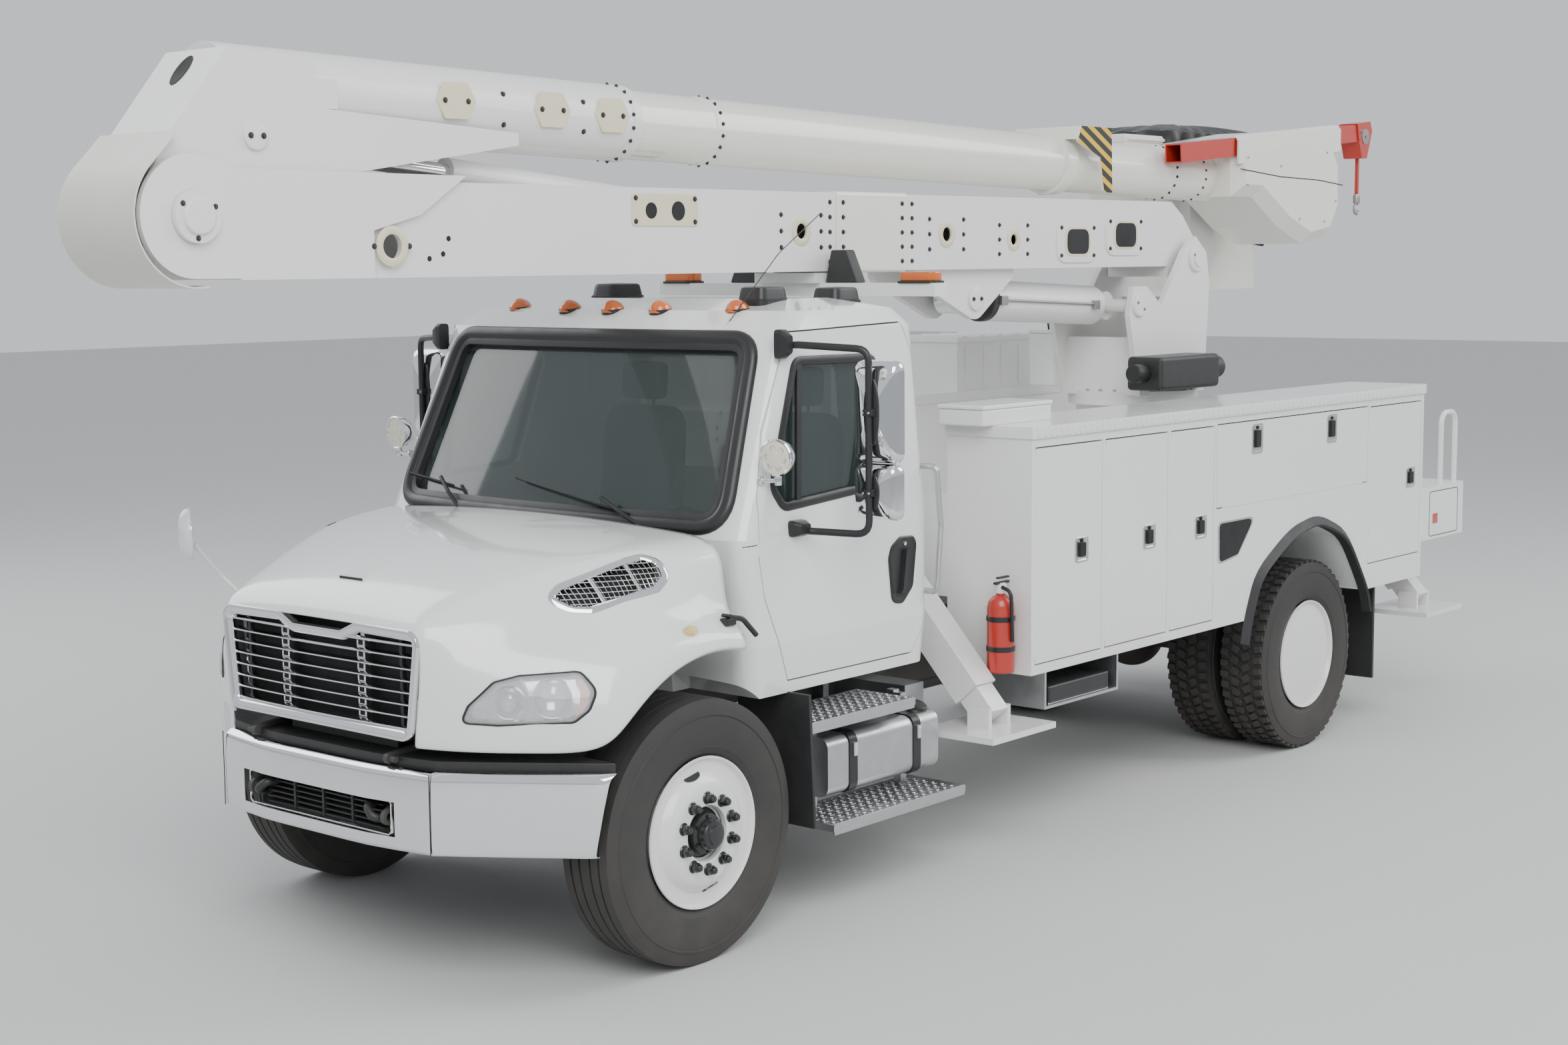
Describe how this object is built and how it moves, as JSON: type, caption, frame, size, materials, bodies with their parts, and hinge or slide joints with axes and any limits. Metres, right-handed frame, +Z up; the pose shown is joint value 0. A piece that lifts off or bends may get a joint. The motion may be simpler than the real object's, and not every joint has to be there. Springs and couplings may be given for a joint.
{
  "type": "cherry picker truck",
  "caption": "Utility truck with side tool cabinets, outriggers and a turntable with an elbow boom that carries a work bucket; a sloping hood and a high cab in front.",
  "frame": {"origin": "on the ground under the middle of the truck's length and width", "axes": "+X forward, +Y to the truck's left, +Z up"},
  "size_m": [9.313, 2.97, 3.625],
  "materials": {
    "white_paint": "gloss",
    "black_paint": "satin",
    "grey_paint": "matte",
    "red_paint": "gloss",
    "polished_steel": "polished",
    "chrome_rod": "polished",
    "steel": "brushed",
    "aluminium": "satin",
    "cast_iron": "matte",
    "tyre": "matte",
    "window_glass": "clear",
    "grey_plastic": "matte",
    "amber_plastic": "gloss",
    "white_fibreglass": "gloss",
    "guard_plastic": "satin",
    "black_vinyl": "satin"
  },
  "bodies": {
    "chassis": {"frame_rails": "black_paint", "front_bumper": "polished_steel", "running_gear": "black_paint", "chassis_fittings": "aluminium", "cab_shell": "white_paint", "cab_glass": "window_glass", "cab_interior": "grey_plastic", "amber_lamps": "amber_plastic", "cabinets": "white_paint", "load_deck": "grey_paint", "boom_rest": "white_paint", "subframe": "white_paint"},
    "hood": {"hood": "white_paint", "hood_trim": "polished_steel"},
    "chest_lid": {"chest_lid": "white_paint"},
    "turntable": {"turntable": "white_paint"},
    "lower_boom": {"lower_boom": "white_paint"},
    "elbow_shaft": {"elbow_shaft": "steel"},
    "upper_boom": {"upper_boom": "white_paint", "fibreglass_boom": "white_fibreglass", "elbow_guard": "guard_plastic"},
    "jib": {"jib": "red_paint"},
    "platform": {"platform_bracket": "white_paint", "bucket": "white_fibreglass", "bucket_cover": "black_vinyl"},
    "lift_barrel": {"lift_barrel": "black_paint"},
    "lift_rod": {"lift_rod": "chrome_rod"},
    "elbow_barrel": {"elbow_barrel": "black_paint"},
    "elbow_rod": {"elbow_rod": "chrome_rod"},
    "cab_door_left": {"cab_door_left": "white_paint", "door_glass_left": "window_glass", "mirrors_left": "polished_steel"},
    "knuckle_left": {"knuckle_left": "cast_iron"},
    "wheel_front_left": {"tyre_front_left": "tyre", "wheel_front_left": "white_paint"},
    "outrigger_front_left": {"outrigger_front_left": "white_paint"},
    "wheel_rear_left": {"tyre_rear_left": "tyre", "wheel_rear_left": "white_paint"},
    "outrigger_rear_left": {"outrigger_rear_left": "white_paint"},
    "front_door_left": {"front_door_left": "white_paint"},
    "second_door_left": {"second_door_left": "white_paint"},
    "third_door_left": {"third_door_left": "white_paint"},
    "long_door_left": {"long_door_left": "white_paint"},
    "rear_door_left": {"rear_door_left": "white_paint"},
    "cab_door_right": {"cab_door_right": "white_paint", "door_glass_right": "window_glass", "mirrors_right": "polished_steel"},
    "knuckle_right": {"knuckle_right": "cast_iron"},
    "wheel_front_right": {"tyre_front_right": "tyre", "wheel_front_right": "white_paint"},
    "outrigger_front_right": {"outrigger_front_right": "white_paint"},
    "wheel_rear_right": {"tyre_rear_right": "tyre", "wheel_rear_right": "white_paint"},
    "outrigger_rear_right": {"outrigger_rear_right": "white_paint"},
    "front_door_right": {"front_door_right": "white_paint"},
    "second_door_right": {"second_door_right": "white_paint"},
    "third_door_right": {"third_door_right": "white_paint"},
    "long_door_right": {"long_door_right": "white_paint"},
    "rear_door_right": {"rear_door_right": "white_paint"}
  },
  "joints": [
    {"name": "steer_left", "type": "hinge", "parent": "chassis", "child": "knuckle_left", "pos_m": [2.81, 0.85, 0.53], "axis": [0, 0, 1], "range_deg": [-38, 38]},
    {"name": "front_wheel_left", "type": "hinge", "parent": "knuckle_left", "child": "wheel_front_left", "pos_m": [2.81, 1.025, 0.53], "axis": [0, 1, 0], "continuous": true},
    {"name": "rear_wheel_left", "type": "hinge", "parent": "chassis", "child": "wheel_rear_left", "pos_m": [-2.207, 0.85, 0.53], "axis": [0, 1, 0], "continuous": true},
    {"name": "cab_door_left", "type": "hinge", "parent": "chassis", "child": "cab_door_left", "pos_m": [2.403, 1.1, 1.6], "axis": [0, 0, -1], "range_deg": [0, 70]},
    {"name": "front_door_left", "type": "hinge", "parent": "chassis", "child": "front_door_left", "pos_m": [0.585, 1.2, 1.4], "axis": [0, 0, -1], "range_deg": [0, 90]},
    {"name": "second_door_left", "type": "hinge", "parent": "chassis", "child": "second_door_left", "pos_m": [-0.009, 1.2, 1.4], "axis": [0, 0, -1], "range_deg": [0, 90]},
    {"name": "third_door_left", "type": "hinge", "parent": "chassis", "child": "third_door_left", "pos_m": [-0.614, 1.2, 1.4], "axis": [0, 0, -1], "range_deg": [0, 90]},
    {"name": "long_door_left", "type": "hinge", "parent": "chassis", "child": "long_door_left", "pos_m": [-1.933, 1.2, 1.458], "axis": [-1, 0, 0], "range_deg": [0, 90]},
    {"name": "rear_door_left", "type": "hinge", "parent": "chassis", "child": "rear_door_left", "pos_m": [-2.824, 1.2, 1.4], "axis": [0, 0, -1], "range_deg": [0, 90]},
    {"name": "outrigger_front_left", "type": "slide", "parent": "chassis", "child": "outrigger_front_left", "axis": [0, 0.6691, -0.7431], "range_m": [0, 0.8]},
    {"name": "outrigger_rear_left", "type": "slide", "parent": "chassis", "child": "outrigger_rear_left", "axis": [0, 0.6691, -0.7431], "range_m": [0, 0.8]},
    {"name": "steer_right", "type": "hinge", "parent": "chassis", "child": "knuckle_right", "pos_m": [2.81, -0.85, 0.53], "axis": [0, 0, 1], "range_deg": [-38, 38]},
    {"name": "front_wheel_right", "type": "hinge", "parent": "knuckle_right", "child": "wheel_front_right", "pos_m": [2.81, -1.025, 0.53], "axis": [0, 1, 0], "continuous": true},
    {"name": "rear_wheel_right", "type": "hinge", "parent": "chassis", "child": "wheel_rear_right", "pos_m": [-2.207, -0.85, 0.53], "axis": [0, 1, 0], "continuous": true},
    {"name": "cab_door_right", "type": "hinge", "parent": "chassis", "child": "cab_door_right", "pos_m": [2.403, -1.1, 1.6], "axis": [0, 0, 1], "range_deg": [0, 70]},
    {"name": "front_door_right", "type": "hinge", "parent": "chassis", "child": "front_door_right", "pos_m": [0.585, -1.2, 1.4], "axis": [0, 0, 1], "range_deg": [0, 90]},
    {"name": "second_door_right", "type": "hinge", "parent": "chassis", "child": "second_door_right", "pos_m": [-0.009, -1.2, 1.4], "axis": [0, 0, 1], "range_deg": [0, 90]},
    {"name": "third_door_right", "type": "hinge", "parent": "chassis", "child": "third_door_right", "pos_m": [-0.614, -1.2, 1.4], "axis": [0, 0, 1], "range_deg": [0, 90]},
    {"name": "long_door_right", "type": "hinge", "parent": "chassis", "child": "long_door_right", "pos_m": [-1.933, -1.2, 1.458], "axis": [1, 0, 0], "range_deg": [0, 90]},
    {"name": "rear_door_right", "type": "hinge", "parent": "chassis", "child": "rear_door_right", "pos_m": [-2.824, -1.2, 1.4], "axis": [0, 0, 1], "range_deg": [0, 90]},
    {"name": "outrigger_front_right", "type": "slide", "parent": "chassis", "child": "outrigger_front_right", "axis": [0, -0.6691, -0.7431], "range_m": [0, 0.8]},
    {"name": "outrigger_rear_right", "type": "slide", "parent": "chassis", "child": "outrigger_rear_right", "axis": [0, -0.6691, -0.7431], "range_m": [0, 0.8]},
    {"name": "hood", "type": "hinge", "parent": "chassis", "child": "hood", "pos_m": [3.76, 0, 0.893], "axis": [0, 1, 0], "range_deg": [0, 75]},
    {"name": "chest_lid", "type": "hinge", "parent": "chassis", "child": "chest_lid", "pos_m": [-2.265, -1.195, 2.2705], "axis": [1, 0, 0], "range_deg": [0, 80]},
    {"name": "turntable", "type": "hinge", "parent": "chassis", "child": "turntable", "pos_m": [-2.19, 0, 1.955], "axis": [0, 0, 1], "continuous": true},
    {"name": "lower_boom", "type": "hinge", "parent": "turntable", "child": "lower_boom", "pos_m": [-2.426, 0, 2.742], "axis": [0, -1, 0], "range_deg": [0, 90]},
    {"name": "elbow_levelling", "type": "hinge", "parent": "lower_boom", "child": "elbow_shaft", "pos_m": [4.399, 0, 2.926], "axis": [0, 1, 0], "range_deg": [0, 90]},
    {"name": "upper_boom", "type": "hinge", "parent": "elbow_shaft", "child": "upper_boom", "pos_m": [4.399, 0, 2.926], "axis": [0, 1, 0], "range_deg": [0, 150], "deforming": ["elbow_guard"]},
    {"name": "platform_levelling", "type": "hinge", "parent": "upper_boom", "child": "platform", "pos_m": [-3.59, 0, 3.2], "axis": [0, -1, 0], "range_deg": [0, 150]},
    {"name": "jib", "type": "slide", "parent": "upper_boom", "child": "jib", "axis": [-0.9962, 0, 0.0876], "range_m": [0, 0.45]},
    {"name": "lift_cylinder", "type": "hinge", "parent": "turntable", "child": "lift_barrel", "pos_m": [-1.803, 0, 2.481], "axis": [0, -1, 0], "range_deg": [0, 97.93]},
    {"name": "lift_rod", "type": "slide", "parent": "lift_barrel", "child": "lift_rod", "axis": [0.9989, 0, 0.0462], "range_m": [0, 0.923]},
    {"name": "elbow_cylinder", "type": "hinge", "parent": "lower_boom", "child": "elbow_barrel", "pos_m": [1.31, 0, 2.95], "axis": [0, 1, 0], "range_deg": [0, 2.01]},
    {"name": "elbow_rod", "type": "slide", "parent": "elbow_barrel", "child": "elbow_rod", "axis": [0.9954, 0, 0.0956], "range_m": [0, 0.6926]}
  ],
  "couplings": [
    {"joint": "steer_right", "follows": "steer_left", "ratio": 1},
    {"joint": "elbow_levelling", "follows": "lower_boom", "ratio": 1},
    {"joint": "platform_levelling", "follows": "upper_boom", "ratio": 1},
    {"joint": "lift_cylinder", "follows": "lower_boom", "ratio": 1.088},
    {"joint": "lift_rod", "follows": "lower_boom", "m_per_rad": 0.58696},
    {"joint": "elbow_cylinder", "follows": "upper_boom", "ratio": 0.013333},
    {"joint": "elbow_rod", "follows": "upper_boom", "m_per_rad": 0.26416}
  ]
}
